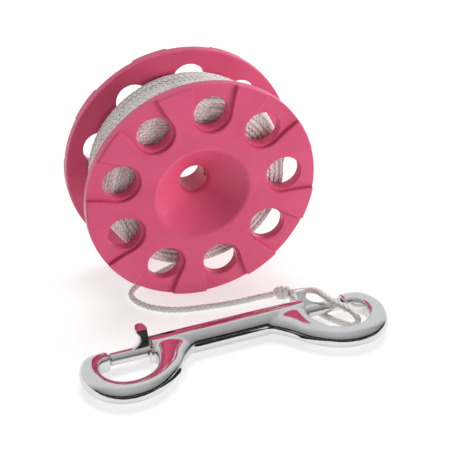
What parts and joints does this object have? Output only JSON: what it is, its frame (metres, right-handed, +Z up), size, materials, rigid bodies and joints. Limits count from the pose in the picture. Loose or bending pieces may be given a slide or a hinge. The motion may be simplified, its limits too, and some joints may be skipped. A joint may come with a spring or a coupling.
{
  "type": "fishing line spool",
  "caption": "Moulded finger spool with funnel bore and pierced flanges, wound with braided line that is looped to a double-ended bolt snap.",
  "frame": {"origin": "centre of the spool on its axis", "axes": "+Y along the spool's axis away from the snap, +Z up, X roughly along the snap; the floor is z = -40 mm"},
  "size_m": [0.107, 0.0858, 0.08],
  "materials": {
    "spool_plastic": "satin moulded pink plastic",
    "line": "white braided nylon",
    "chrome": "polished chrome plate",
    "spring_wire": "drawn spring wire"
  },
  "bodies": {
    "snap": {"snap_body": "chrome", "line_lead": "line", "line_knot": "line", "line_loop": "line", "gate_spring_left": "spring_wire", "gate_spring_right": "spring_wire"},
    "spool": {"spool_front_half": "spool_plastic", "spool_back_half": "spool_plastic", "line_winding": "line", "line_anchor": "line"},
    "gate_left": {"gate_bolt_left": "chrome"},
    "gate_right": {"gate_bolt_right": "chrome"}
  },
  "joints": [
    {"name": "spool_spin", "type": "hinge", "parent": "snap", "child": "spool", "pos_m": [0, 0, 0], "axis": [0, 1, 0], "continuous": true},
    {"name": "gate_left_slide", "type": "slide", "parent": "snap", "child": "gate_left", "axis": [0.9976, 0.0698, 0], "range_m": [0, 0.009], "stiffness_N_per_m": 150, "springref_m": -0.006, "deforming": ["gate_spring_left"]},
    {"name": "gate_right_slide", "type": "slide", "parent": "snap", "child": "gate_right", "axis": [-0.9976, -0.0698, 0], "range_m": [0, 0.009], "stiffness_N_per_m": 150, "springref_m": -0.006, "deforming": ["gate_spring_right"]}
  ]
}
